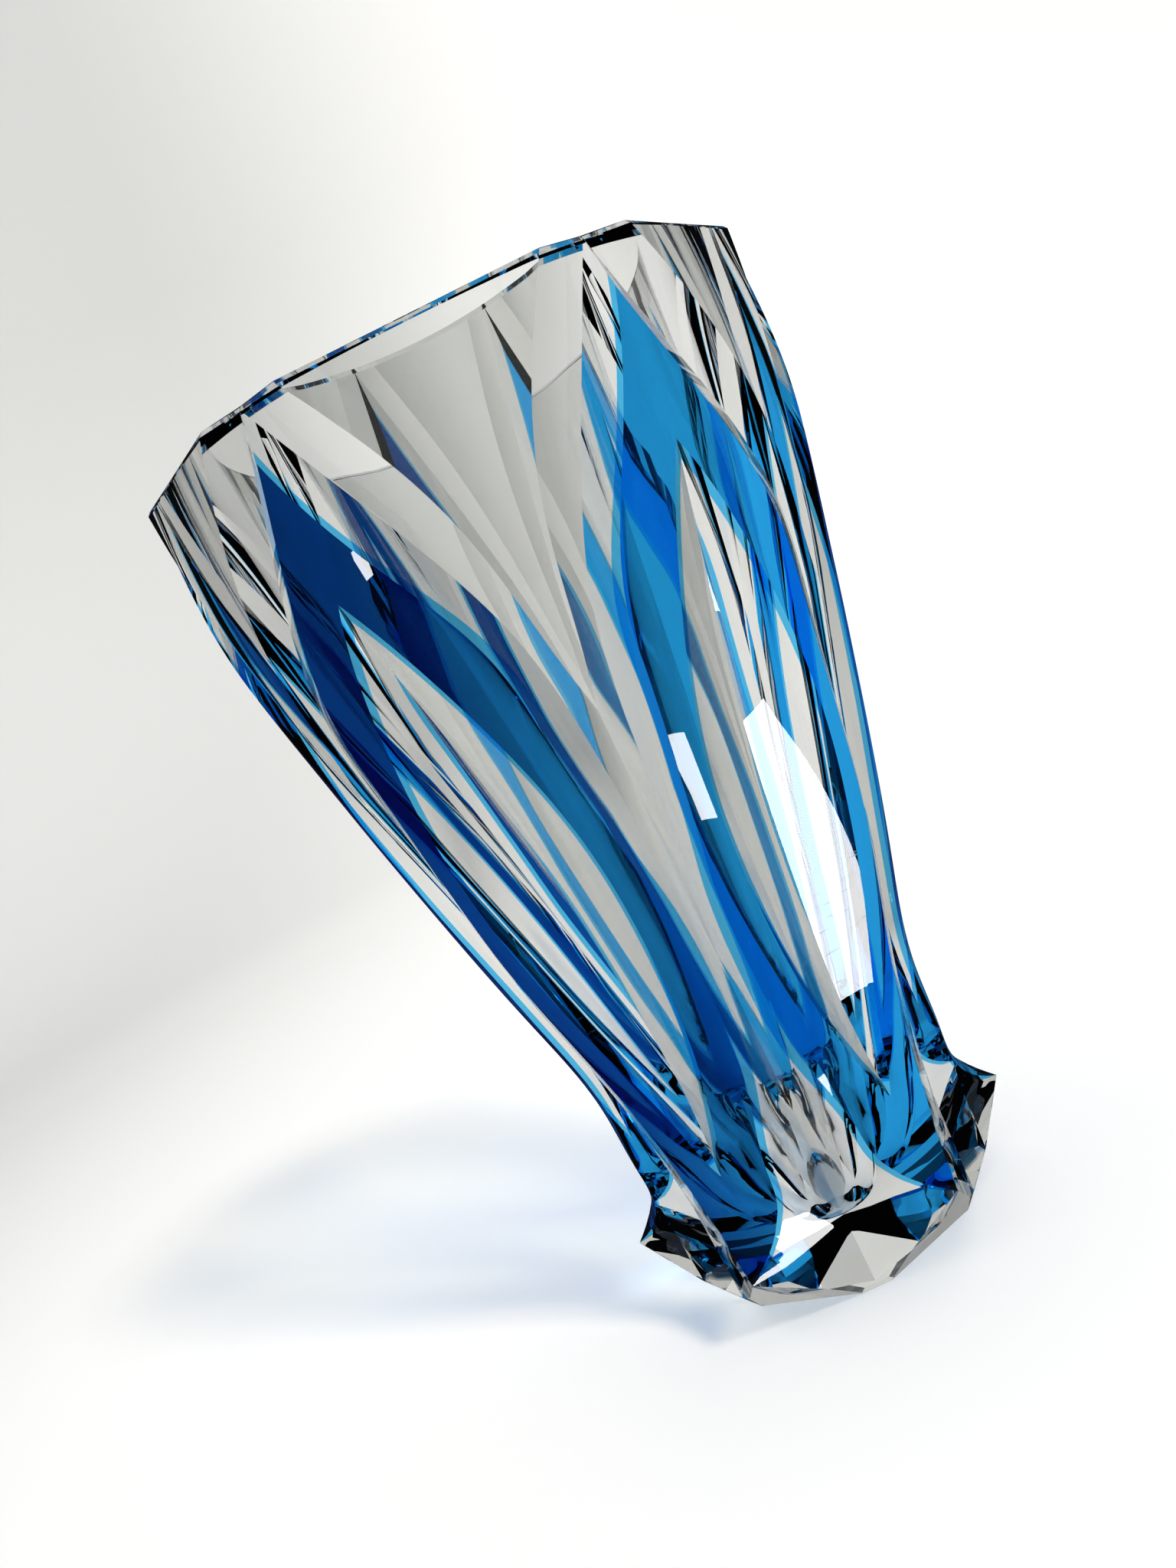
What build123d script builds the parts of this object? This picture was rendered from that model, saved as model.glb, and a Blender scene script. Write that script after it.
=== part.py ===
"""Cut crystal vase: clear crystal cased in cobalt and cut back to six pointed blue frames.

Units are millimetres and +Z is up. The origin is at the centre of the base. The pattern repeats six
times round the axis. A clear panel is centred on -Y, with a blue frame 30 degrees to each side of it.
"""
import math
import os

from build123d import *

HEIGHT = 250.0
REPEATS = 6
HALF_STEP = 180.0 / REPEATS     # angle from the middle of a clear panel to the middle of a blue frame
CASING = 0.8                    # thickness of the cobalt glass over the clear crystal
FAR = 130.0                     # reach of a cutting solid, well outside the glass
PAST = 5.0                      # how far a cutting solid runs past the rim or below the base
CUT_LENGTH = 30.0               # length of a cutting solid's flank, measured up from its valley
MITRE_STEPS = 28                # sections through a mitre's cutting solid
LENS_STEPS = 18                 # sections through a lens's cutting solid

# Outside of the blown and cased blank, as (radius, height), from under the foot to the rim.
BLANK = [
    (66.0, 13.5), (54.0, 19.8), (46.8, 27.0), (45.2, 42.0), (46.3, 62.0), (53.0, 92.0),
    (62.0, 128.0), (71.6, 173.0), (78.6, 211.0), (80.7, 237.5), (81.0, 252.0),
]
SEAM_ANGLE = 20.0               # where a turned surface closes on itself, clear of every valley and ridge

# Cavity, as (radius, height): a round floor and a nearly straight wall that opens to the mouth.
CAVITY_FLOOR = 14.0
CAVITY_FLOOR_RADIUS = 14.5
CAVITY_MIDDLE = (45.0, 130.0)
CAVITY_MOUTH_RADIUS = 69.8
CAVITY_FLOOR_FILLET = 5.0

# Mitre cuts, two to a clear panel: height, the valley's place (across, out), and the slopes in degrees
# of the flank beside the blue frame and of the flank beside the middle of the panel. The two cuts share
# one valley from the foot to a third of the height, and then part until neighbours meet at the rim.
MITRE = [
    (-12.0, 0.0, 38.0, 16.0, 24.0),
    (20.0, 0.0, 39.0, 16.0, 24.0),
    (30.0, 0.0, 39.5, 12.5, 24.0),
    (42.0, 0.0, 40.8, 13.0, 24.0),
    (65.0, 0.0, 44.5, 12.0, 24.0),
    (90.0, 0.0, 50.9, 12.5, 24.0),
    (115.0, 1.2, 57.2, 16.0, 23.0),
    (140.0, 3.4, 62.1, 17.0, 21.0),
    (165.0, 5.4, 67.2, 12.0, 18.0),
    (185.0, 9.2, 71.0, 9.5, 22.0),
    (210.0, 19.3, 71.4, 10.0, 27.0),
    (237.5, 33.0, 68.4, 12.0, 34.0),
    (264.0, 46.0, 66.3, 14.0, 37.0),
]

# Tongue cut between the two mitres, flat across and curved up its height, as (out, height).
TONGUE = [
    (66.0, 148.0), (68.8, 165.0), (73.0, 185.0), (76.2, 208.0), (76.3, 229.0), (74.0, 250.0), (71.8, 262.0),
]
TONGUE_HALF_WIDTH = 45.0

# Lens cut in the middle of each blue frame: valley, as (out, height), and the slope of its flanks.
LENS = [
    (47.2, 34.0), (45.3, 45.5), (43.6, 68.0), (47.3, 100.0), (54.6, 137.0), (66.3, 174.0), (78.0, 206.0),
    (82.6, 219.0),
]
LENS_SLOPE = 21.0

# Foot: six facets rise from the sides of the hexagonal base to the six points, and smaller facets take
# off its corners. A facet's lean is how far out it goes for each millimetre that it rises.
BASE_APOTHEM = 33.3
POINT_RADIUS = 54.0
POINT_HEIGHT = 19.8
POINT_LEAN = (POINT_RADIUS - BASE_APOTHEM) / POINT_HEIGHT
POINT_CUT_TOP = 40.0
CORNER_APOTHEM = 36.3
CORNER_LEAN = 0.68
CORNER_CUT_TOP = 15.0
CORNER_HALF_WIDTH = 20.0

RIM_BEVEL = 1.0                 # narrow bevel polished on the inner edge of the rim


def inner_side(points, distance):
    """Points moved to the inner side of a curve through them, square to the curve."""
    with BuildLine(mode=Mode.PRIVATE):
        curve = Spline(*points)
    moved = []
    for point in points:
        tangent = curve.tangent_at(curve.param_at_point(Vector(*point)))
        moved.append((point[0] - distance * tangent.Y, point[1] + distance * tangent.X))
    return moved


turning_plane = Plane.XZ.rotated((0, 0, SEAM_ANGLE))


def turned_blank(points):
    """Solid of revolution whose outside runs through (radius, height) points and stops at the rim."""
    foot = points[0]
    rim = points[-1]
    with BuildPart() as turned:
        with BuildSketch(turning_plane):
            with BuildLine():
                Spline(*points)
                Polyline(rim, (0, rim[1]), (0, 0), (foot[0], 0), foot)
            make_face()
        revolve(axis=Axis.Z)
        with BuildSketch(Plane.XY.offset(HEIGHT)):
            Circle(FAR)
        extrude(amount=PAST, mode=Mode.SUBTRACT)
    return turned.part


def between(table, height):
    """Value at a height, in line between the (height, value) pairs beside it."""
    for (low, first), (high, last) in zip(table, table[1:]):
        if height <= high:
            break
    return first + (last - first) * (height - low) / (high - low)


def mitre_cutter(stations, steps):
    """V-shaped cutting solid for a panel centred on -Y, its valley on a smooth curve through the stations."""
    with BuildLine(mode=Mode.PRIVATE):
        valley = Spline(*[(across, -out, height) for height, across, out, _, _ in stations])
    with BuildPart() as cutter:
        for step in range(steps + 1):
            place = valley @ (step / steps)
            frame_slope = between([(row[0], row[3]) for row in stations], place.Z)
            middle_slope = between([(row[0], row[4]) for row in stations], place.Z)
            frame_run = CUT_LENGTH * math.cos(math.radians(frame_slope))
            frame_rise = CUT_LENGTH * math.sin(math.radians(frame_slope))
            middle_run = CUT_LENGTH * math.cos(math.radians(middle_slope))
            middle_rise = CUT_LENGTH * math.sin(math.radians(middle_slope))
            with BuildSketch(Plane.XY.offset(place.Z)):
                with BuildLine():
                    Polyline(
                        (place.X, place.Y),
                        (place.X + frame_run, place.Y - frame_rise),
                        (place.X + frame_run, -FAR),
                        (place.X - middle_run, -FAR),
                        (place.X - middle_run, place.Y - middle_rise),
                        close=True,
                    )
                make_face()
        loft()
    return cutter.part


right_mitre = mitre_cutter(MITRE, MITRE_STEPS)
left_mitre = mirror(right_mitre, about=Plane.YZ)
lens_mitre = mitre_cutter([(height, 0.0, out, LENS_SLOPE, LENS_SLOPE) for out, height in LENS], LENS_STEPS)

with BuildPart() as tongue_cutter:
    with BuildSketch(Plane.YZ):
        with BuildLine():
            foot_end, *_, rim_end = [(-out, height) for out, height in TONGUE]
            Spline(*[(-out, height) for out, height in TONGUE])
            Polyline(rim_end, (-FAR, rim_end[1]), (-FAR, foot_end[1]), foot_end)
        make_face()
    extrude(amount=TONGUE_HALF_WIDTH, both=True)


def foot_cutter(apothem, lean, top, half_width):
    """Cutting solid outside a flat facet of the foot, which faces -Y and leans out from the base."""
    with BuildPart() as cutter:
        with BuildSketch(Plane.YZ):
            low = (lean * PAST - apothem, -PAST)
            high = (-lean * top - apothem, top)
            Polygon(low, high, (-FAR, top), (-FAR, -PAST), align=None)
        extrude(amount=half_width, both=True)
    return cutter.part


corner_cutter = foot_cutter(CORNER_APOTHEM, CORNER_LEAN, CORNER_CUT_TOP, CORNER_HALF_WIDTH)
point_cutter = foot_cutter(BASE_APOTHEM, POINT_LEAN, POINT_CUT_TOP, FAR)


def cut_pattern():
    """Takes every cut of the pattern out of the part that is being built."""
    with PolarLocations(0, REPEATS):
        add(right_mitre, mode=Mode.SUBTRACT)
    with PolarLocations(0, REPEATS):
        add(left_mitre, mode=Mode.SUBTRACT)
    with PolarLocations(0, REPEATS):
        add(tongue_cutter.part, mode=Mode.SUBTRACT)
        add(corner_cutter, mode=Mode.SUBTRACT)
    with PolarLocations(0, REPEATS, start_angle=HALF_STEP):
        add(lens_mitre, mode=Mode.SUBTRACT)
        add(point_cutter, mode=Mode.SUBTRACT)


blank = turned_blank(BLANK)
core = turned_blank(inner_side(BLANK, CASING))

with BuildPart() as cavity:
    with BuildSketch(turning_plane):
        with BuildLine():
            floor_edge = (CAVITY_FLOOR_RADIUS, CAVITY_FLOOR)
            mouth_edge = (CAVITY_MOUTH_RADIUS, HEIGHT)
            above_mouth = (CAVITY_MOUTH_RADIUS, HEIGHT + PAST)
            ThreePointArc(floor_edge, CAVITY_MIDDLE, mouth_edge)
            Polyline(mouth_edge, above_mouth, (0, HEIGHT + PAST), (0, CAVITY_FLOOR), floor_edge)
        make_face()
    revolve(axis=Axis.Z)
    fillet(cavity.edges().group_by(Axis.Z)[0], CAVITY_FLOOR_FILLET)

os.makedirs("parts", exist_ok=True)

with BuildPart() as crystal_body:
    add(core)
    cut_pattern()
    add(cavity.part, mode=Mode.SUBTRACT)
    mouth_edges = crystal_body.edges().group_by(Axis.Z)[-1].filter_by(GeomType.CIRCLE).sort_by(SortBy.RADIUS)
    chamfer(mouth_edges[0], RIM_BEVEL)
crystal_body.part.label = "crystal_body"
export_step(crystal_body.part, "parts/crystal_body.step")
print("crystal_body", round(crystal_body.part.volume), "mm3, solids", len(crystal_body.part.solids()))

with BuildPart() as casing:
    add(blank)
    add(core, mode=Mode.SUBTRACT)
    cut_pattern()
frames = sorted(casing.part.solids(), key=lambda solid: math.atan2(solid.center().Y, solid.center().X))
print("cobalt frames", [round(solid.volume) for solid in frames], "mm3")
for number, frame in enumerate(frames, start=1):
    frame.label = f"cobalt_panel_{number}"
    export_step(frame, f"parts/cobalt_panel_{number}.step")
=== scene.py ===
# %% [markdown]
# # Cut crystal vase, cased in cobalt glass
# A glassmaker blows a thick clear vase, covers it with a thin layer of cobalt glass, and a cutter grinds
# through the blue into the clear crystal. Six clear panels and six pointed blue frames are left. This
# lesson builds the clear body and the six frames as separate closed pieces that fit together like the
# real layers, because light must bend once at the outside and pass straight on where two layers touch.

# %% Load the frame
import math

import bmesh
import bpy
import numpy as np
from mathutils import Matrix, Vector


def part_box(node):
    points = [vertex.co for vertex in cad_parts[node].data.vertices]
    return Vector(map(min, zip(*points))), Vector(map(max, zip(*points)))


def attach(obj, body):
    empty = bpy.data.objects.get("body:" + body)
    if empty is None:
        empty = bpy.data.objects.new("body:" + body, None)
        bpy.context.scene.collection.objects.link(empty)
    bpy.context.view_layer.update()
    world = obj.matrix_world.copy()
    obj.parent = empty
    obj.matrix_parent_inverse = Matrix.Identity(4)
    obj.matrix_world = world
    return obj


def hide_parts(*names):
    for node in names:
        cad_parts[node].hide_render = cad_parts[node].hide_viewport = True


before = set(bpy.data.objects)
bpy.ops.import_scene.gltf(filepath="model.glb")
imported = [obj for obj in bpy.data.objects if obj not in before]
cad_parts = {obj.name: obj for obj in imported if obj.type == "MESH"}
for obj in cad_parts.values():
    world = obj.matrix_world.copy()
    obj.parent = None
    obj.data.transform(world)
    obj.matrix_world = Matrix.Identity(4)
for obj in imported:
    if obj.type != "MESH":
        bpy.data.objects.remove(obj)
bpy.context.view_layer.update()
body_low, body_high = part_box("crystal_body")
MM = 0.001
HEIGHT = (body_high.z - body_low.z) / MM
REPEATS = 6
HALF_STEP = math.pi / REPEATS   # angle from the middle of a clear panel to the middle of a blue frame
print("vase height", round(HEIGHT, 2), "mm")

# %% [markdown]
# ## The cutter's drawing
# Every cut on the vase is ground by a wheel with a V-shaped or flat edge, so a level slice through the
# glass is made of straight lines and one circle. The heights below are stations, as on a boat builder's
# drawing: at each one the valley of a cut has a place and its two flanks have a slope. A smooth curve
# through the stations gives the cut at any height in between. Drawing the vase this way keeps every
# ground edge perfectly sharp and continuous, which refraction shows off and a sculpted mesh would lose.

# %% Stations of the blank and the cuts
BLANK = [
    (13.5, 66.0), (19.8, 54.0), (27.0, 46.8), (42.0, 45.2), (62.0, 46.3), (92.0, 53.0),
    (128.0, 62.0), (173.0, 71.6), (211.0, 78.6), (237.5, 80.7), (252.0, 81.0),
]
# Height, valley across, valley out, slope beside the blue frame, slope beside the middle of the panel.
MITRE = [
    (-12.0, 0.0, 38.0, 16.0, 24.0),
    (20.0, 0.0, 39.0, 16.0, 24.0),
    (30.0, 0.0, 39.5, 12.5, 24.0),
    (42.0, 0.0, 40.8, 13.0, 24.0),
    (65.0, 0.0, 44.5, 12.0, 24.0),
    (90.0, 0.0, 50.9, 12.5, 24.0),
    (115.0, 1.2, 57.2, 16.0, 23.0),
    (140.0, 3.4, 62.1, 17.0, 21.0),
    (165.0, 5.4, 67.2, 12.0, 18.0),
    (185.0, 9.2, 71.0, 9.5, 22.0),
    (210.0, 19.3, 71.4, 10.0, 27.0),
    (237.5, 33.0, 68.4, 12.0, 34.0),
    (264.0, 46.0, 66.3, 14.0, 37.0),
]
TONGUE = [
    (148.0, 66.0), (165.0, 68.8), (185.0, 73.0), (208.0, 76.2), (229.0, 76.3), (250.0, 74.0), (262.0, 71.8),
]
LENS = [
    (34.0, 47.2), (45.5, 45.3), (68.0, 43.6), (100.0, 47.3), (137.0, 54.6), (174.0, 66.3), (206.0, 78.0),
    (219.0, 82.6),
]
LENS_SLOPE = math.radians(21.0)
LENS_START, LENS_END = LENS[0][0], LENS[-1][0]
BASE_APOTHEM, POINT_RADIUS, POINT_HEIGHT = 33.3, 54.0, 19.8
POINT_LEAN = (POINT_RADIUS - BASE_APOTHEM) / POINT_HEIGHT
CORNER_APOTHEM, CORNER_LEAN = 36.3, 0.68
CASING = 0.8                    # thickness of the cobalt layer
CASING_START = 3 * CASING       # height above the foot's points at which it has reached that thickness
RIM_BEVEL = 1.0                 # bevel on the inner edge of the rim
RIM_OUTER_BEVEL = 0.8


def smooth_curve(stations):
    """Natural cubic curve through (height, value) stations, as a function of height."""
    z = np.array([s[0] for s in stations], float)
    v = np.array([s[1] for s in stations], float)
    gap = np.diff(z)
    bend = np.zeros_like(z)
    inner = np.diag(2 * (gap[:-1] + gap[1:])) + np.diag(gap[1:-1], 1) + np.diag(gap[1:-1], -1)
    bend[1:-1] = np.linalg.solve(inner, 6 * np.diff(np.diff(v) / gap))

    def at(height):
        i = int(np.clip(np.searchsorted(z, height) - 1, 0, len(gap) - 1))
        a, b = z[i + 1] - height, height - z[i]
        return (
            (bend[i] * a ** 3 + bend[i + 1] * b ** 3) / (6 * gap[i])
            + (v[i] / gap[i] - bend[i] * gap[i] / 6) * a
            + (v[i + 1] / gap[i] - bend[i + 1] * gap[i] / 6) * b
        )

    return at


def straight_curve(stations):
    """Straight lines through (height, value) stations, as a function of height."""
    z, v = zip(*stations)
    return lambda height: float(np.interp(height, z, v))


blank_radius = smooth_curve(BLANK)
valley_across = smooth_curve([(row[0], row[1]) for row in MITRE])
valley_out = smooth_curve([(row[0], row[2]) for row in MITRE])
frame_slope = straight_curve([(row[0], math.radians(row[3])) for row in MITRE])
middle_slope = straight_curve([(row[0], math.radians(row[4])) for row in MITRE])
tongue_out = smooth_curve(TONGUE)
lens_out = smooth_curve(LENS)
print("blank radius at the rim", round(blank_radius(HEIGHT), 1), "mm")


# %% [markdown]
# ## One slice through half a panel
# The pattern repeats six times and each clear panel is its own mirror image, so a slice needs only the
# half from the middle of a panel to the middle of a blue frame. The functions below give the corners of
# that half slice, each a point (across, out) in millimetres. Where a cut doesn't exist at some height its
# corners fall onto their neighbours, so the same list of corners works from the base to the rim.

# %% Corners of a slice
def slope_at(curve, z):
    """Change of a curve's value for each millimetre of height."""
    return curve(z + 0.5) - curve(z - 0.5)


def core_radius(z):
    """Radius under the cobalt layer, which is laid on square to the blank's surface."""
    share = min(1.0, max(0.0, (z - POINT_HEIGHT) / CASING_START))
    return blank_radius(z) - share * CASING * math.hypot(1, slope_at(blank_radius, z))


def valley(z):
    """The valley of the mitre cut. Low down the two cuts of a panel share it."""
    return np.array((max(0.0, valley_across(z)), valley_out(z)))


def flank_direction(z):
    """Way up the flank beside the blue frame."""
    return np.array((math.cos(frame_slope(z)), math.sin(frame_slope(z))))


def on_circle(start, direction, radius):
    """Where a straight line from start meets the circle of that radius."""
    along = start @ direction
    return start + direction * (-along + math.sqrt(max(0.0, along ** 2 - start @ start + radius ** 2)))


def frame_edge(z, radius):
    """Where the flank beside the blue frame meets a circle, or its mirror image if that comes first."""
    low, slope = valley(z), flank_direction(z)
    edge = on_circle(low, slope, radius)
    if math.atan2(edge[0], edge[1]) <= HALF_STEP:
        return edge
    k = math.tan(HALF_STEP)
    return low + slope * (k * low[1] - low[0]) / (slope[0] - k * slope[1])


def reach(z, radius):
    """How far out a circle is cut back to where the flanks on both sides of a frame meet inside it."""
    return np.linalg.norm(frame_edge(z, radius))


def in_frame(across, out):
    """Point given from the middle line of the blue frame, turned to the slice's own directions."""
    c, s = math.cos(HALF_STEP), math.sin(HALF_STEP)
    return np.array((-across * c + out * s, across * s + out * c))


def lens_depth(z, radius):
    """How far out the valley of the lens cut is. Past the lens's ends it is the circle itself."""
    return lens_out(z) if LENS_START <= z <= LENS_END else radius


def lens_edge(z, radius):
    """Where the flank of the lens cut meets a circle. Without a lens it is the middle of the frame."""
    deep = lens_depth(z, radius)
    if deep >= radius:
        return in_frame(0, radius)
    edge = on_circle(np.array((0, deep)), np.array((math.cos(LENS_SLOPE), math.sin(LENS_SLOPE))), radius)
    return in_frame(edge[0], edge[1])


def frame_middle(z, radius):
    """Deepest point of the lens cut. Without a lens it is the middle of the frame."""
    return in_frame(0, min(lens_depth(z, radius), radius))


def ridge_out(z):
    """Where the two flanks in the middle of a panel would meet without the tongue cut."""
    low = valley(z)
    return low[1] + low[0] * math.tan(middle_slope(z))


def panel_middle(z):
    """The middle of the panel and the edge of its tongue, which meet where there is no tongue."""
    low = valley(z)
    ridge = ridge_out(z)
    flat = tongue_out(z) if z >= TONGUE[0][0] else ridge
    if ridge <= flat:
        return np.array((0, ridge)), np.array((0, ridge))
    edge = low[0] - (flat - low[1]) / math.tan(middle_slope(z))
    return np.array((0, flat)), np.array((edge, flat))


# %% [markdown]
# ## The foot
# Below the blue points the cutter ground six flat facets that rise from a hexagonal base, and took off
# the hexagon's corners with six smaller ones. The facets are planes, so in a slice they are straight
# lines, and their corners are where two straight lines cross.

# %% Corners of a slice through the foot
def foot_corners(z):
    """Valley, flank at the small facet, flank at the large facet, middle of the large facet."""
    large = BASE_APOTHEM + POINT_LEAN * z
    small = CORNER_APOTHEM + CORNER_LEAN * z
    low = valley(z)
    c, s = math.cos(HALF_STEP), math.sin(HALF_STEP)
    rise = math.tan(frame_slope(z))
    flank = (large - c * low[1]) / (s + c * rise)
    meeting = np.array((flank, low[1] + flank * rise))
    if small < low[1]:              # the small facet takes off the valley too
        low = np.array((0, small))
        inner = low
        meeting = np.array(((large - c * small) / s, small))
    elif small < meeting[1]:        # it ends on the flanks
        inner = np.array(((small - low[1]) / rise, small))
        meeting = np.array(((large - c * small) / s, small))
    else:                           # it has come to its point
        inner = meeting
    return low, inner, meeting, in_frame(0, large)


def crossing(difference, low, high):
    """Height between low and high where a difference changes sign, by halving."""
    sign = difference(low) > 0
    for _ in range(40):
        middle = (low + high) / 2
        if (difference(middle) > 0) == sign:
            low = middle
        else:
            high = middle
    return low


def beside_middle(z, radius):
    """Angle left between the middle of a blue frame and the flank's end on the circle."""
    edge = on_circle(valley(z), flank_direction(z), radius)
    return HALF_STEP - math.atan2(edge[0], edge[1])


# Each height is looked for between one that is surely below it and one that is surely above it.
LENS_LOW, LENS_HIGH = 68, 100
LENS_FOOT = crossing(lambda z: lens_out(z) - core_radius(z), LENS_START, LENS_LOW)
LENS_HEAD = crossing(lambda z: lens_out(z) - core_radius(z), LENS_HIGH, LENS_END)
LENS_FOOT_OUTSIDE = crossing(lambda z: lens_out(z) - blank_radius(z), LENS_START, LENS_LOW)
LENS_HEAD_OUTSIDE = crossing(lambda z: lens_out(z) - blank_radius(z), LENS_HIGH, LENS_END)
TONGUE_FOOT = crossing(lambda z: ridge_out(z) - tongue_out(z), 149, 190)
TIP = crossing(lambda z: beside_middle(z, blank_radius(z)), 215, HEIGHT)
TIP_UNDER = crossing(lambda z: beside_middle(z, core_radius(z)), 215, HEIGHT)
CORNER_VALLEY = crossing(lambda z: CORNER_APOTHEM + CORNER_LEAN * z - valley(z)[1], 0, 10)
CORNER_TOP = crossing(lambda z: np.linalg.norm(foot_corners(z)[1] - foot_corners(z)[2]), 6, 14)
print("lens from", round(LENS_FOOT, 1), "to", round(LENS_HEAD, 1), "tongue from", round(TONGUE_FOOT, 1))
print("blue tips at", round(TIP, 1), "small facets up to", round(CORNER_TOP, 1), "mm")

# %% [markdown]
# ## The clear body, one sixth at a time
# The body could be cut from a turned solid with Boolean modifiers, but they leave long thin triangles
# that make glass look rippled. Instead each slice is a row of points and neighbouring rows are joined
# by four-sided faces that follow the cutter's strokes. The rows go up the outside, over the bevelled
# rim, and down the cavity to its floor. Faces that the cobalt layer covers are marked as they are made.

# %% Rows of the outside
# Faces between corners: on the tongue, inner flank, outer flank, foot facet, blue frame and lens.
SHARES = (4, 4, 3, 2, 5, 4)
COVERED_SHARE = 4               # which of these stretches lies under the cobalt
COVERED_FROM = sum(SHARES[:COVERED_SHARE])
COVERED_TO = COVERED_FROM + SHARES[COVERED_SHARE]
STEP = 2.0


def run(corners, shares):
    """Points along the straight lines between corners, in equal steps."""
    points = [corners[0]]
    for first, last, count in zip(corners, corners[1:], shares):
        points += [first + (last - first) * i / count for i in range(1, count + 1)]
    return points


def onto_circle(points, first, count, radius):
    """Moves the points of one stretch out onto the circle that its ends lie on."""
    for i in range(first, first + count + 1):
        points[i] = points[i] * radius / np.linalg.norm(points[i])
    return points


def half_slice(z):
    """Points of the clear body's half slice, from the middle of a panel to the middle of a frame."""
    if z < POINT_HEIGHT:
        low, inner, meeting, middle = foot_corners(z)
        return run([low, low, low, inner, meeting, middle, middle], SHARES)
    radius = reach(z, core_radius(z))
    middle, tongue = panel_middle(z)
    edge = frame_edge(z, radius)
    far_edge = lens_edge(z, radius)
    deepest = frame_middle(z, radius)
    if z > TIP_UNDER:
        far_edge = deepest = edge
    corners = [middle, tongue, valley(z), edge, edge, far_edge, deepest]
    points = run(corners, SHARES)
    if z <= TIP_UNDER:
        onto_circle(points, COVERED_FROM, SHARES[COVERED_SHARE], radius)
    return points


def heights(keys, step):
    """Heights from the first key to the last, through every key, in steps no longer than step."""
    rows = [keys[0]]
    for low, high in zip(keys, keys[1:]):
        count = max(1, math.ceil((high - low) / step))
        rows += [low + (high - low) * i / count for i in range(1, count + 1)]
    return rows


def whole_slice(half):
    """Row of the sixth: the half slice and its mirror image, from one frame's middle to the next."""
    return [np.array((-p[0], p[1])) for p in reversed(half[1:])] + list(half)


def to_space(point, z):
    """A panel faces -Y, so the way out of a slice is -Y."""
    return Vector((point[0] * MM, -point[1] * MM, z * MM))


RIM_TOP = HEIGHT - RIM_BEVEL
OUTSIDE_KEYS = sorted((
    0.0, CORNER_VALLEY, CORNER_TOP, POINT_HEIGHT, POINT_HEIGHT + CASING_START, LENS_FOOT, LENS_FOOT_OUTSIDE,
    TONGUE_FOOT, LENS_HEAD, LENS_HEAD_OUTSIDE, TIP_UNDER, RIM_TOP,
))
outside_heights = heights(OUTSIDE_KEYS, STEP)
rows = [[to_space(p, z) for p in whole_slice(half_slice(z))] for z in outside_heights]
print("rows up the outside", len(rows), "of", len(rows[0]), "points")

# %% [markdown]
# ## Rim and cavity
# The mouth was ground flat and both of its edges were bevelled. The cavity is a long cone from the
# blowing mould with a rounded floor. Its wall is a very flat arc, found from three points on it, and
# the floor's rounding is a quarter arc that touches the floor and the wall.

# %% Rows of the rim and the cavity
CAVITY_POINTS = ((14.5, 14.0), (45.0, 130.0), (69.8, 250.0))
FLOOR_FILLET = 5.0
FILLET_STEPS = 6
WALL_STEP = 6.0


def circle_through(a, b, c):
    """Centre and radius of the circle through three (radius, height) points."""
    chords = 2 * np.array((np.subtract(b, a), np.subtract(c, a)))
    sides = np.array((np.dot(b, b) - np.dot(a, a), np.dot(c, c) - np.dot(a, a)))
    centre = np.linalg.solve(chords, sides)
    return centre, np.linalg.norm(centre - np.array(a))


wall_centre, wall_arc = circle_through(*CAVITY_POINTS)
wall_side = math.copysign(1, CAVITY_POINTS[1][0] - wall_centre[0])


def wall_radius(z):
    """Radius of the cavity's wall."""
    return wall_centre[0] + wall_side * math.sqrt(wall_arc ** 2 - (z - wall_centre[1]) ** 2)


floor_height = CAVITY_POINTS[0][1]
fillet_height = floor_height + FLOOR_FILLET
wall_tilt = math.atan(slope_at(wall_radius, fillet_height))
fillet_centre = wall_radius(fillet_height) - FLOOR_FILLET / math.cos(wall_tilt)
fillet_turns = [-math.pi / 2 + (math.pi / 2 - wall_tilt) * i / FILLET_STEPS for i in range(FILLET_STEPS + 1)]
floor_profile = [
    (fillet_centre + FLOOR_FILLET * math.cos(a), fillet_height + FLOOR_FILLET * math.sin(a))
    for a in fillet_turns
]
wall_profile = [(wall_radius(z), z) for z in heights([floor_profile[-1][1], RIM_TOP], WALL_STEP)]
mouth_profile = [(wall_radius(HEIGHT) + RIM_BEVEL, HEIGHT)]
cavity_profile = floor_profile + wall_profile[1:] + mouth_profile

outward = [Vector((v.x, v.y, 0)).normalized() for v in rows[-1]]
rim_outline = [to_space(p, HEIGHT) for p in whole_slice(half_slice(HEIGHT))]
rows.append([v - d * RIM_OUTER_BEVEL * MM for v, d in zip(rim_outline, outward)])
for radius, z in reversed(cavity_profile):
    rows.append([Vector((d.x * radius * MM, d.y * radius * MM, z * MM)) for d in outward])
print("rows in all", len(rows), "cavity floor radius", round(floor_profile[0][0], 1), "mm")


# %% [markdown]
# ## From rows to a sixth of the body
# Two small attributes travel with the mesh. `covered` marks the faces under the cobalt layer, so they
# can get a finish of their own, and nothing else needs to know where the layer lies.

# %% Sixth of the body
SAME_PLACE = 0.001 * MM         # corners closer than this are one corner


def is_covered(z, column):
    """True for a face of the half slice that lies under the cobalt layer."""
    lens_here = LENS_FOOT < z < LENS_HEAD
    return POINT_HEIGHT < z < TIP_UNDER and COVERED_FROM <= column and (column < COVERED_TO or not lens_here)


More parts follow.
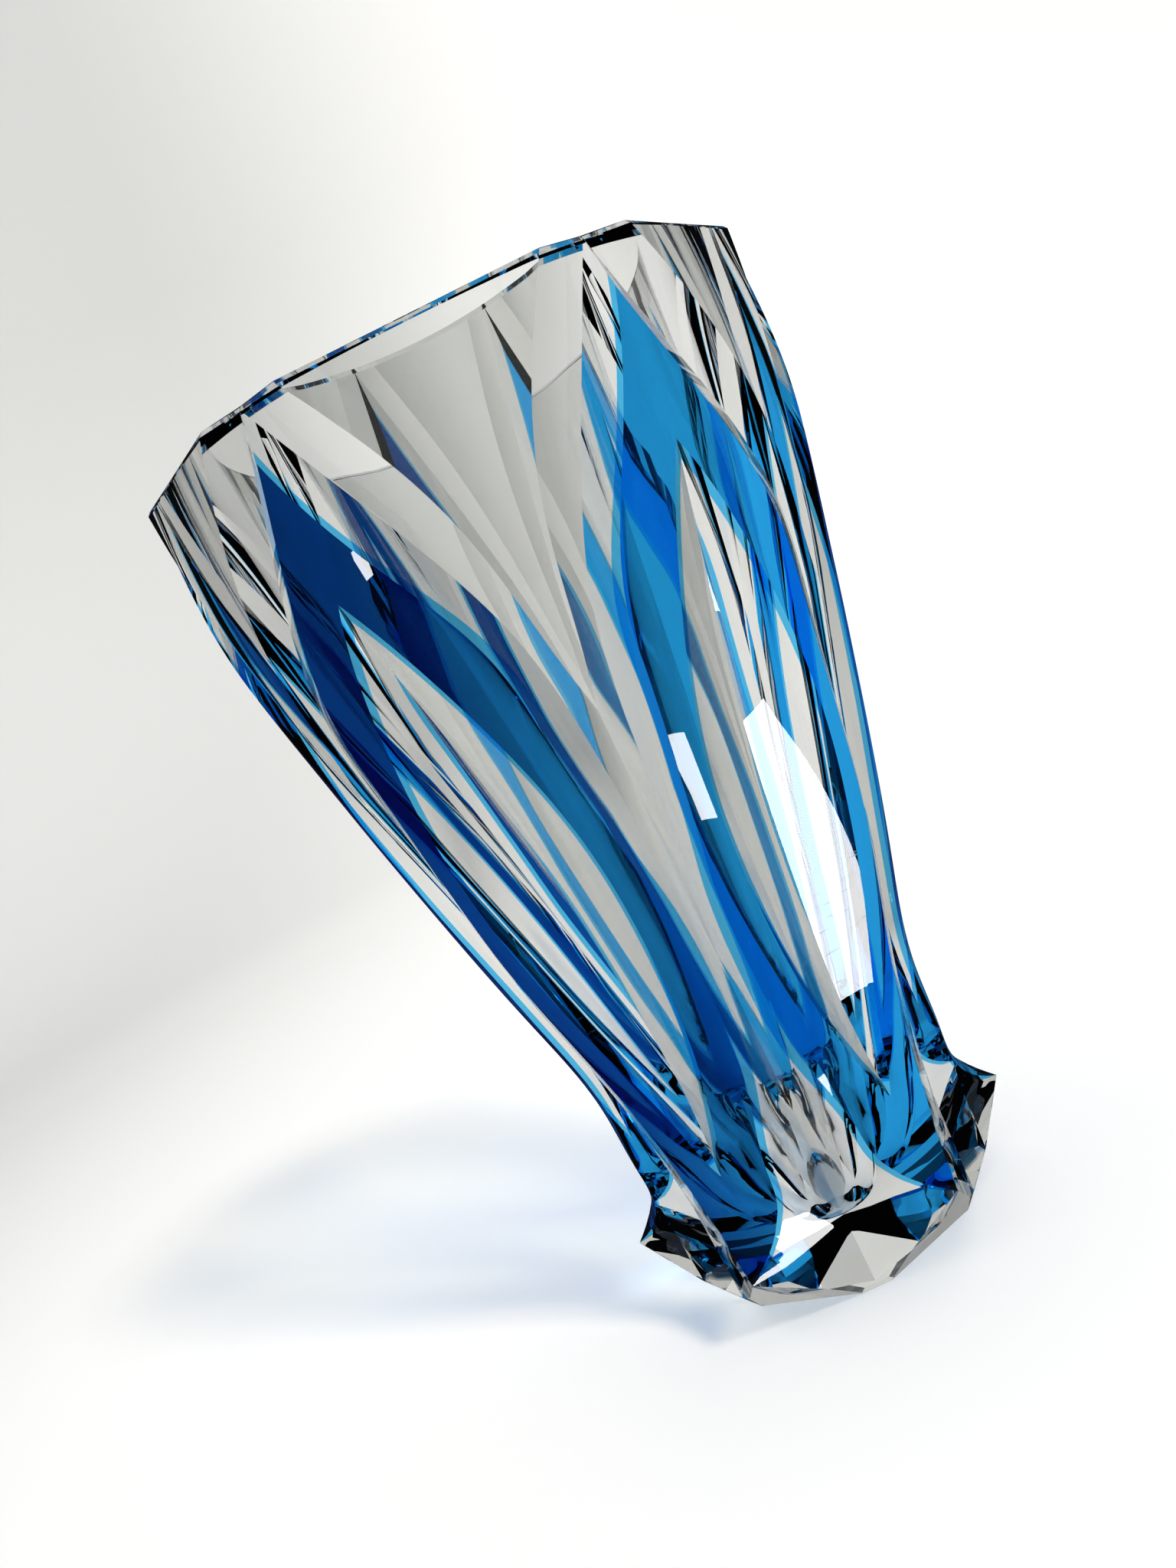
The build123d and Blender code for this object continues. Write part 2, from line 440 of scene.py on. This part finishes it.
def closed_mesh(name, bm):
    """Merges corners that fell onto each other and returns the result as a mesh."""
    bmesh.ops.remove_doubles(bm, verts=bm.verts, dist=SAME_PLACE)
    bmesh.ops.dissolve_degenerate(bm, dist=SAME_PLACE, edges=bm.edges)
    mesh = bpy.data.meshes.new(name)
    bm.to_mesh(mesh)
    bm.free()
    return mesh


def mesh_from_rows(name, rows, covered):
    """Mesh of four-sided faces between rows, closed to the axis at both ends."""
    bm = bmesh.new()
    layer = bm.faces.layers.bool.new("covered")
    grid = [[bm.verts.new(p) for p in row] for row in rows]
    for j, (lower, upper) in enumerate(zip(grid, grid[1:])):
        for i in range(len(lower) - 1):
            face = bm.faces.new((lower[i], lower[i + 1], upper[i + 1], upper[i]))
            face[layer] = covered(j, i)
    for row, turn in ((grid[0], 1), (grid[-1], -1)):
        pole = bm.verts.new((0, 0, row[0].co.z))
        for i in range(len(row) - 1):
            bm.faces.new((pole, row[i + 1], row[i])[::turn])
    return closed_mesh(name, bm)


half_faces = sum(SHARES)


def body_covered(j, i):
    """True for the face in row j and column i of the sixth, if it lies under the cobalt layer."""
    column = i - half_faces if i >= half_faces else half_faces - 1 - i
    z = (outside_heights[j] + outside_heights[j + 1]) / 2 if j + 1 < len(outside_heights) else HEIGHT
    return is_covered(z, column)


sixth_mesh = mesh_from_rows("crystal_sixth", rows, body_covered)
print("a sixth of the body has", len(sixth_mesh.polygons), "faces")

# %% [markdown]
# ## The cobalt layer
# What the cutter left of the blue layer is six pointed frames, each under a millimetre thick, round a
# lens-shaped window. A frame's slice is a thin curved strip on each side of the window. Its cut sides
# are the flanks of the clear cuts carried on through the blue, and there the glass is so thin that it
# shows pale cyan instead of deep blue. Those side faces are marked `thin`.

# %% One blue frame
FRAME_SHARE = 6


def arc_points(first, last, radius):
    """Points from first to last on the circle that both lie on."""
    return onto_circle(run([first, last], [FRAME_SHARE]), 0, FRAME_SHARE, radius)


def frame_slice(z):
    """Half of a frame's slice: points on the outside, points underneath, and the end of the window's side."""
    outer, under = reach(z, blank_radius(z)), reach(z, core_radius(z))
    outside = arc_points(frame_edge(z, outer), lens_edge(z, outer), outer)
    underneath = arc_points(frame_edge(z, under), lens_edge(z, under), under)
    deep = lens_depth(z, outer)
    if deep >= outer:
        return outside, underneath, outside[-1]
    return outside, underneath, underneath[-1] if deep < under else in_frame(0, deep)


FRAME_KEYS = sorted((
    POINT_HEIGHT, POINT_HEIGHT + CASING_START, LENS_FOOT, LENS_FOOT_OUTSIDE, LENS_HEAD, LENS_HEAD_OUTSIDE,
    TIP_UNDER, TIP,
))
frame_heights = heights(FRAME_KEYS, STEP)


def blue_frame_mesh():
    """The frame between a panel at -Y and the next, made of two mirrored halves that are merged."""
    bm = bmesh.new()
    thin = bm.faces.layers.bool.new("thin")
    inner = bm.faces.layers.bool.new("covered")
    axis = Vector((math.sin(HALF_STEP), -math.cos(HALF_STEP), 0))
    across = Vector((axis.y, -axis.x, 0))
    cut_side = FRAME_SHARE + 1
    for turn in (1, -1):
        grid = []
        for z in frame_heights:
            outside, underneath, side = frame_slice(z)
            points = [to_space(p, z) for p in [underneath[0]] + outside + [side] + underneath]
            if turn < 0:
                points = [p - across * 2 * p.dot(across) for p in points]
            grid.append([bm.verts.new(p) for p in points])
        for lower, upper in zip(grid, grid[1:]):
            for i in range(cut_side + 1):
                face = bm.faces.new((lower[i], lower[i + 1], upper[i + 1], upper[i])[::turn])
                face[thin] = i in (0, cut_side)
            for i in range(cut_side + 2, len(lower) - 1):
                face = bm.faces.new((lower[i + 1], lower[i], upper[i], upper[i + 1])[::turn])
                face[inner] = True
    return closed_mesh("blue_frame", bm)


frame_mesh = blue_frame_mesh()
print("a blue frame has", len(frame_mesh.polygons), "faces")


# %% [markdown]
# ## Colour and node helpers
# Colours are written as a painter would pick them on screen, and one function turns them into the
# linear values that the renderer needs. A second function adds a node with its settings and links.

# %% Helpers for materials
def linear(code):
    """Linear RGBA from an sRGB hex code such as 1F3FA0."""
    parts = [int(code[i:i + 2], 16) / 255 for i in (0, 2, 4)]
    return tuple(p / 12.92 if p <= 0.04045 else ((p + 0.055) / 1.055) ** 2.4 for p in parts) + (1.0,)


def add_node(tree, kind, settings=None, **sockets):
    """Adds a node. A socket's value is a plain value, or the output that is linked to it.

    A socket goes by its name, with _ for a space, or by its number, as in i0.
    """
    node = tree.nodes.new(kind)
    for name, value in (settings or {}).items():
        setattr(node, name, value)
    for name, value in sockets.items():
        key = name.replace("_", " ")
        socket = node.inputs[int(key[1:])] if key[1:].isdigit() and key[0] == "i" else node.inputs[key]
        if isinstance(value, bpy.types.NodeSocket):
            tree.links.new(value, socket)
        else:
            socket.default_value = value
    return node


def new_material(name):
    """An empty material and its node tree."""
    material = bpy.data.materials.new(name)
    material.use_nodes = True
    material.node_tree.nodes.clear()
    return material, material.node_tree


# %% [markdown]
# ## Clear lead crystal, cut and polished
# Lead crystal bends light more than window glass, with an index of about 1.55, and a cut surface is
# polished until it mirrors the room. Years of use leave hair-fine scratches. Rays on their way to a lamp
# pass nearly unhindered, so that the shadow on the table is the soft grey of real glass, not black.

# %% Crystal material
CRYSTAL_IOR = 1.545
SCRATCH_WIDTH = 0.4 * MM        # real scratches are finer, and drawn as wide as they need to show
SCRATCH_STRETCH = 0.06          # width of a scratch as a share of its length
SCRATCH_TILT = 0.12             # radians from level
SCRATCH_FROM, SCRATCH_FULL = 0.58, 0.68         # noise values at which a scratch begins and is full
WORN_HEIGHTS = (55 * MM, 85 * MM, 125 * MM)     # hands and cloths wear the waist most
WORN_ROUGHNESS = 0.12


def hand_wear(tree, where):
    """Roughness of hair-fine scratches that run round the waist, where the vase is held and wiped."""
    stretched = add_node(
        tree, "ShaderNodeMapping", Vector=where, Scale=(SCRATCH_STRETCH, SCRATCH_STRETCH, 1.0),
        Rotation=(SCRATCH_TILT, 0.0, 0.0),
    )
    hairs = add_node(
        tree, "ShaderNodeTexNoise", Vector=stretched.outputs[0], Scale=1 / SCRATCH_WIDTH, Detail=3.0,
    )
    lines = add_node(
        tree, "ShaderNodeMapRange", Value=hairs.outputs["Fac"], From_Min=SCRATCH_FROM,
        From_Max=SCRATCH_FULL,
    )
    height = add_node(tree, "ShaderNodeSeparateXYZ", Vector=where)
    lowest, middle, highest = WORN_HEIGHTS
    rising = add_node(
        tree, "ShaderNodeMapRange", {"interpolation_type": "SMOOTHSTEP"}, Value=height.outputs["Z"],
        From_Min=lowest, From_Max=middle,
    )
    falling = add_node(
        tree, "ShaderNodeMapRange", {"interpolation_type": "SMOOTHSTEP"}, Value=height.outputs["Z"],
        From_Min=highest, From_Max=middle,
    )
    product = rising.outputs[0]
    for factor in (falling.outputs[0], lines.outputs[0], WORN_ROUGHNESS):
        product = add_node(
            tree, "ShaderNodeMath", {"operation": "MULTIPLY"}, i0=product, i1=factor,
        ).outputs[0]
    return product


def cut_glass(tree, where, colour, shadow):
    """Polished glass of one colour. Rays on their way to a lamp pass with the shadow's colour."""
    glass = add_node(
        tree, "ShaderNodeBsdfPrincipled", Base_Color=colour, Roughness=hand_wear(tree, where),
        IOR=CRYSTAL_IOR, Transmission_Weight=1.0,
    )
    passing = add_node(tree, "ShaderNodeBsdfTransparent", Color=shadow)
    path = add_node(tree, "ShaderNodeLightPath")
    mix = add_node(
        tree, "ShaderNodeMixShader", i0=path.outputs["Is Shadow Ray"], i1=glass.outputs[0],
        i2=passing.outputs[0],
    )
    add_node(tree, "ShaderNodeOutputMaterial", Surface=mix.outputs[0])


def crystal_material():
    """Clear crystal with a faint grey in the thick parts."""
    material, tree = new_material("lead_crystal_cut_and_polished")
    where = add_node(tree, "ShaderNodeTexCoord").outputs["Object"]
    cut_glass(tree, where, linear("DCDDDB"), linear("DCE0E2"))
    return material


crystal = crystal_material()
print("made", crystal.name)

# %% [markdown]
# ## Cobalt casing glass
# Cobalt oxide turns glass a deep saturated blue even in a layer as thin as a coin. Streaks from the
# gathering iron make it a little uneven. Where the wheel cut through the layer at a slant it is thin
# enough to look pale cyan, which draws a bright line round every frame.
# Painted shade makes the blue deeper towards -X and lighter towards +X.

# %% Cobalt material
STREAK_LENGTH = 30 * MM
STREAK_STRETCH = 0.35           # streaks run up the vase
STREAK_SHIFT = 24 * MM          # how far the streaks push the change from the painted shade at -X to the lighter blue at +X
SHADE_SIDE_X, LIT_SIDE_X = -24 * MM, 36 * MM       # painted shade: the blue is deepest at -X and lightest at +X


def cobalt_material():
    """Cobalt glass in streaks, with painted shade that deepens it towards -X, and pale on the faces marked
    thin.
    """
    material, tree = new_material("cobalt_casing_glass")
    where = add_node(tree, "ShaderNodeTexCoord").outputs["Object"]
    stretched = add_node(tree, "ShaderNodeMapping", Vector=where, Scale=(1.0, 1.0, STREAK_STRETCH))
    streaks = add_node(
        tree, "ShaderNodeTexNoise", Vector=stretched.outputs[0], Scale=1 / STREAK_LENGTH, Detail=2.0,
    )
    sideways = add_node(tree, "ShaderNodeSeparateXYZ", Vector=where)
    uneven = add_node(
        tree, "ShaderNodeMath", {"operation": "MULTIPLY_ADD"}, i0=streaks.outputs["Fac"], i1=STREAK_SHIFT,
        i2=sideways.outputs["X"],
    )
    share = add_node(
        tree, "ShaderNodeMapRange", {"interpolation_type": "SMOOTHSTEP"}, Value=uneven.outputs[0],
        From_Min=SHADE_SIDE_X, From_Max=LIT_SIDE_X,
    )
    # painted shade: the blue is mixed from deep 01185E at -X to light 29A7ED at +X, shifted by the streaks
    streaks_and_shade = add_node(
        tree, "ShaderNodeMix", {"data_type": "RGBA"}, i0=share.outputs[0], i6=linear("01185E"),
        i7=linear("29A7ED"),
    )
    thin = add_node(tree, "ShaderNodeAttribute", {"attribute_name": "thin"})
    colour = add_node(
        tree, "ShaderNodeMix", {"data_type": "RGBA"}, i0=thin.outputs["Fac"], i6=streaks_and_shade.outputs[2],
        i7=linear("A6DCEE"),
    )
    cut_glass(tree, where, colour.outputs[2], linear("8FA9C8"))
    return material


def fused_material(name, colour):
    """Where cobalt and crystal are fused there is no air between them, so light goes straight on."""
    material, tree = new_material(name)
    passing = add_node(tree, "ShaderNodeBsdfTransparent", Color=colour)
    add_node(tree, "ShaderNodeOutputMaterial", Surface=passing.outputs[0])
    return material


cobalt = cobalt_material()
fused_clear = fused_material("fused_joint_clear", linear("FFFFFF"))
fused_blue = fused_material("fused_joint_cobalt", linear("68CDF7"))
print("made", cobalt.name, fused_clear.name, fused_blue.name)

# %% [markdown]
# ## Repeating the pattern with Geometry Nodes
# One tree turns a part of the pattern round the axis. It makes as many points as it is told, puts a copy
# of the part on each, turned a step further each time, joins the copies into real geometry, merges the
# seams and sets the two finishes. The body uses it with six copies and each blue frame with one copy
# turned to its own place, so every piece comes from the same rule.

# %% The turning tree
CREASE = math.radians(7)        # edges sharper than this stay crisp


def turning_tree():
    """Node tree that turns copies of a part round the axis and gives them their two finishes."""
    tree = bpy.data.node_groups.new("turned_pattern", "GeometryNodeTree")
    for name, kind in (
        ("Geometry", "Geometry"), ("Copies", "Int"), ("Step angle", "Float"), ("First angle", "Float"),
        ("Finish", "Material"), ("Covered finish", "Material"),
    ):
        tree.interface.new_socket(name, in_out="INPUT", socket_type="NodeSocket" + kind)
    tree.interface.new_socket("Geometry", in_out="OUTPUT", socket_type="NodeSocketGeometry")
    given = tree.nodes.new("NodeGroupInput").outputs
    points = add_node(tree, "GeometryNodePoints", Count=given["Copies"])
    number = add_node(tree, "GeometryNodeInputIndex")
    angle = add_node(
        tree, "ShaderNodeMath", {"operation": "MULTIPLY_ADD"}, i0=number.outputs[0], i1=given["Step angle"],
        i2=given["First angle"],
    )
    turn = add_node(tree, "ShaderNodeCombineXYZ", Z=angle.outputs[0])
    copies = add_node(
        tree, "GeometryNodeInstanceOnPoints", Points=points.outputs[0], Instance=given["Geometry"],
        Rotation=turn.outputs[0],
    )
    real = add_node(tree, "GeometryNodeRealizeInstances", Geometry=copies.outputs[0])
    merged = add_node(tree, "GeometryNodeMergeByDistance", Geometry=real.outputs[0], Distance=2 * SAME_PLACE)
    first = add_node(tree, "GeometryNodeSetMaterial", Geometry=merged.outputs[0], Material=given["Finish"])
    covered = add_node(tree, "GeometryNodeInputNamedAttribute", {"data_type": "BOOLEAN"}, Name="covered")
    last = add_node(
        tree, "GeometryNodeSetMaterial", Geometry=first.outputs[0], Selection=covered.outputs[0],
        Material=given["Covered finish"],
    )
    out = tree.nodes.new("NodeGroupOutput")
    tree.links.new(last.outputs[0], out.inputs[0])
    return tree


pattern_tree = turning_tree()


def turned_piece(name, mesh, values):
    """Runs the tree on a mesh and returns a plain piece with sharp ground edges."""
    if not mesh.materials:
        mesh.materials.append(values["Finish"])
    source = bpy.data.objects.new(name + "_source", mesh)
    bpy.context.scene.collection.objects.link(source)
    modifier = source.modifiers.new("turned", "NODES")
    modifier.node_group = pattern_tree
    for item in pattern_tree.interface.items_tree:
        if item.in_out == "INPUT" and item.name in values:
            modifier[item.identifier] = values[item.name]
    graph = bpy.context.evaluated_depsgraph_get()
    plain = bpy.data.meshes.new_from_object(source.evaluated_get(graph), depsgraph=graph)
    plain.name = name
    source.modifiers.remove(modifier)
    bpy.data.objects.remove(source)
    plain.shade_smooth()
    plain.set_sharp_from_angle(angle=CREASE)
    piece = bpy.data.objects.new(name, plain)
    bpy.context.scene.collection.objects.link(piece)
    print(name, len(plain.polygons), "faces, finishes", [m.name for m in plain.materials])
    return piece


# %% [markdown]
# ## The pieces
# The clear body and the six blue frames take the places of the plain solids with the same sizes.

# %% Clear body
body = turned_piece("clear_crystal_body", sixth_mesh, {
    "Copies": REPEATS, "Step angle": 2 * HALF_STEP, "First angle": 0.0, "Finish": crystal,
    "Covered finish": fused_clear,
})
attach(body, "root")
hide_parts("crystal_body")

# %% Blue frames
frame_nodes = sorted(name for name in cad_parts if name.startswith("cobalt_panel_"))
for number, node in enumerate(frame_nodes):
    low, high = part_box(node)
    middle = (low + high) / 2
    towards = math.atan2(middle.y, middle.x) - (HALF_STEP - math.pi / 2)
    steps = round(towards / (2 * HALF_STEP))
    blue = turned_piece(f"blue_frame_{number + 1}", frame_mesh, {
        "Copies": 1, "Step angle": 0.0, "First angle": steps * 2 * HALF_STEP, "Finish": cobalt,
        "Covered finish": fused_blue,
    })
    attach(blue, "root")
    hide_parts(node)

# %% [markdown]
# ## Table and backdrop
# The vase stands on a pale table whose far edge can't be seen. A large round sheet that curves up all the
# way round does the same in a studio: the eye finds no horizon from any side.
# Painted shade makes the sheet pale grey at the back on the left.

# %% Backdrop
CONTACT_GAP = 0.05 * MM         # film of air under the foot
SHEET_MIDDLE = 0.3              # radius of the flat disc in the middle
SHEET_FLAT = 1.2                # radius at which the sheet begins to curve up
SHEET_CURVE = 1.0
SHEET_TOP = 2.0
SHEET_TURNS = 64
SHEET_STEPS = 12                # rings up the curve
PAINTED_SHADE_REACH = 1.0                # painted shade: the paper fades from white to pale grey over this far to the left
PAINTED_SHADE_BACK_SHARE = 0.25               # and the painted shade fades over a quarter of that towards the back


def paper_material():
    """Matt white paper with painted shade that turns it pale grey at the back on the left."""
    material, tree = new_material("backdrop_paper_with_painted_shade")
    where = add_node(tree, "ShaderNodeTexCoord")
    near_right = add_node(
        tree, "ShaderNodeVectorMath", {"operation": "DOT_PRODUCT"}, i0=where.outputs["Object"],
        i1=(1.0, -PAINTED_SHADE_BACK_SHARE, 0.0),
    )
    share = add_node(
        tree, "ShaderNodeMapRange", {"interpolation_type": "SMOOTHSTEP"}, Value=near_right.outputs["Value"],
        From_Min=-PAINTED_SHADE_REACH, From_Max=0.0,
    )
    # painted shade: pale grey C8C8C6 at the back on the left, white paper FBFAF8 elsewhere
    paper_and_painted_shade = add_node(
        tree, "ShaderNodeMix", {"data_type": "RGBA"}, i0=share.outputs[0], i6=linear("C8C8C6"),
        i7=linear("FBFAF8"),
    )
    card = add_node(
        tree, "ShaderNodeBsdfPrincipled", Base_Color=paper_and_painted_shade.outputs[2], Roughness=0.9, Specular_IOR_Level=0.1,
    )
    add_node(tree, "ShaderNodeOutputMaterial", Surface=card.outputs[0])
    return material


def backdrop():
    """Round sheet with a turned-up edge, which throws no shadow and isn't mirrored in the glass."""
    profile = [(SHEET_MIDDLE, -CONTACT_GAP), (SHEET_FLAT, -CONTACT_GAP)]
    profile += [
        (SHEET_FLAT + SHEET_CURVE * math.sin(a), SHEET_CURVE * (1 - math.cos(a)))
        for a in (math.pi / 2 * i / SHEET_STEPS for i in range(1, SHEET_STEPS + 1))
    ]
    profile.append((SHEET_FLAT + SHEET_CURVE, SHEET_TOP))
    bm = bmesh.new()
    turns = [2 * math.pi * i / SHEET_TURNS for i in range(SHEET_TURNS)]
    rings = [[bm.verts.new((r * math.cos(t), r * math.sin(t), z)) for t in turns] for r, z in profile]
    bm.faces.new(rings[0])
    for lower, upper in zip(rings, rings[1:]):
        for i in range(SHEET_TURNS):
            bm.faces.new((upper[i], upper[(i + 1) % SHEET_TURNS], lower[(i + 1) % SHEET_TURNS], lower[i]))
    mesh = bpy.data.meshes.new("backdrop")
    bm.to_mesh(mesh)
    bm.free()
    mesh.shade_smooth()
    sheet = bpy.data.objects.new("backdrop", mesh)
    bpy.context.scene.collection.objects.link(sheet)
    mesh.materials.append(paper_material())
    sheet.visible_glossy = False
    sheet.visible_shadow = False
    return sheet


backdrop()

# %% [markdown]
# ## Light
# Glass has no shading of its own: it shows the room. A bright even sky and a soft sun from the front
# right light the table. The room behind the viewer is dark, and two curved dark screens stand for it: the
# facets mirror the lower one, and the one overhead is also seen through the glass. Two bright patches are
# windows, one low on the right, whose reflection lies on the lens cut that faces it, and one small on
# the left. Screens show only in what the glass mirrors and bends, and they cast no shadow.

# %% Sky, sun, windows and dark screens
PATCH_STEPS = 12
DARK_DISTANCE, WINDOW_DISTANCE = 0.95, 0.9
WINDOW_STRENGTH = 16.0


def world_light(colour, strength):
    """Even sky all round."""
    world = bpy.data.worlds.new("studio_sky")
    bpy.context.scene.world = world
    world.use_nodes = True
    tree = world.node_tree
    tree.nodes.clear()
    sky = add_node(tree, "ShaderNodeBackground", Color=colour, Strength=strength)
    add_node(tree, "ShaderNodeOutputWorld", Surface=sky.outputs[0])


def sunlight(name, towards, strength, angle):
    """Sun that shines towards a direction. Its angle, in degrees, softens the shadow."""
    lamp = bpy.data.lights.new(name, "SUN")
    lamp.energy = strength
    lamp.angle = math.radians(angle)
    light = bpy.data.objects.new(name, lamp)
    light.rotation_euler = Vector(towards).to_track_quat("-Z", "Y").to_euler()
    bpy.context.scene.collection.objects.link(light)


def screen_object(name, corners, faces, colour, strength):
    """Screen that glows evenly and shows only in what glass mirrors and bends."""
    mesh = bpy.data.meshes.new(name)
    mesh.from_pydata(corners, [], faces)
    screen = bpy.data.objects.new(name, mesh)
    bpy.context.scene.collection.objects.link(screen)
    material, tree = new_material(name + "_glow")
    glow = add_node(tree, "ShaderNodeEmission", Color=colour, Strength=strength)
    add_node(tree, "ShaderNodeOutputMaterial", Surface=glow.outputs[0])
    mesh.materials.append(material)
    screen.visible_camera = False
    screen.visible_shadow = False
    screen.visible_diffuse = False
    return screen


def direction(azimuth, elevation):
    """Unit vector at an azimuth from -Y towards +X and an elevation, both in degrees."""
    a, e = math.radians(azimuth), math.radians(elevation)
    return Vector((math.sin(a) * math.cos(e), -math.cos(a) * math.cos(e), math.sin(e)))


def sky_patch(name, distance, azimuths, elevations, colour, strength):
    """Piece of a sphere round the vase's middle, between two azimuths and two elevations."""
    count = PATCH_STEPS + 1
    corners = [
        Vector((0, 0, HEIGHT * MM / 2)) + distance * direction(azimuth, elevation)
        for elevation in np.linspace(*elevations, count)
        for azimuth in np.linspace(*azimuths, count)
    ]
    faces = [
        (j * count + i, j * count + i + 1, (j + 1) * count + i + 1, (j + 1) * count + i)
        for j in range(PATCH_STEPS) for i in range(PATCH_STEPS)
    ]
    return screen_object(name, corners, faces, colour, strength)


world_light(linear("F8F9FA"), 0.84)
sunlight("soft_sun", (-0.72, 0.72, -0.8), 2.0, 8.0)
dark_room = sky_patch("dark_room", DARK_DISTANCE, (-180, 180), (-80, 50), linear("1A1B1E"), 1.0)
dark_room.visible_transmission = False
sky_patch("dark_ceiling", DARK_DISTANCE, (-180, 180), (42, 90), linear("50565C"), 1.0)
sky_patch("low_window", WINDOW_DISTANCE, (21, 28.6), (-33.1, -26.5), linear("FFFFFF"), WINDOW_STRENGTH)
sky_patch("small_window", WINDOW_DISTANCE, (-51, -48), (-4, 0), linear("FFFFFF"), WINDOW_STRENGTH)

# %% [markdown]
# ## Camera
# The camera stands close in front and a little below the rim, looks slightly down, and is rolled to
# the side, so that the vase leans across the view. Close up, the perspective is strong.

# %% Camera
CAMERA_DISTANCE, CAMERA_HEIGHT = 0.3488, 0.18465        # metres from the axis and above the table
LOOK_DOWN, LOOK_ASIDE, ROLL, WALK_ROUND = (math.radians(a) for a in (7.20, -1.82, 26.13, 0.23))
LENS_LENGTH, SENSOR = 30.74, 36.0       # millimetres


def make_camera():
    """Camera that looks from the front, turned and rolled as the angles above say."""
    data = bpy.data.cameras.new("camera")
    data.lens = LENS_LENGTH
    data.sensor_fit = "VERTICAL"
    data.sensor_height = SENSOR
    data.clip_start = 0.01
    camera = bpy.data.objects.new("camera", data)
    bpy.context.scene.collection.objects.link(camera)
    ahead = Vector((math.sin(LOOK_ASIDE), math.cos(LOOK_ASIDE), 0))
    towards = ahead * math.cos(LOOK_DOWN) - Vector((0, 0, math.sin(LOOK_DOWN)))
    right = Vector((ahead.y, -ahead.x, 0))
    up = right.cross(towards)
    rolled_right = right * math.cos(ROLL) - up * math.sin(ROLL)
    rolled_up = right * math.sin(ROLL) + up * math.cos(ROLL)
    turn = Matrix((rolled_right, rolled_up, -towards)).transposed().to_4x4()
    stand = Matrix.Translation((0, -CAMERA_DISTANCE, CAMERA_HEIGHT))
    camera.matrix_world = Matrix.Rotation(WALK_ROUND, 4, "Z") @ stand @ turn
    bpy.context.scene.camera = camera
    return camera


camera = make_camera()
bpy.context.scene.view_settings.view_transform = "Standard"
print("camera at", [round(v, 3) for v in camera.matrix_world.translation])
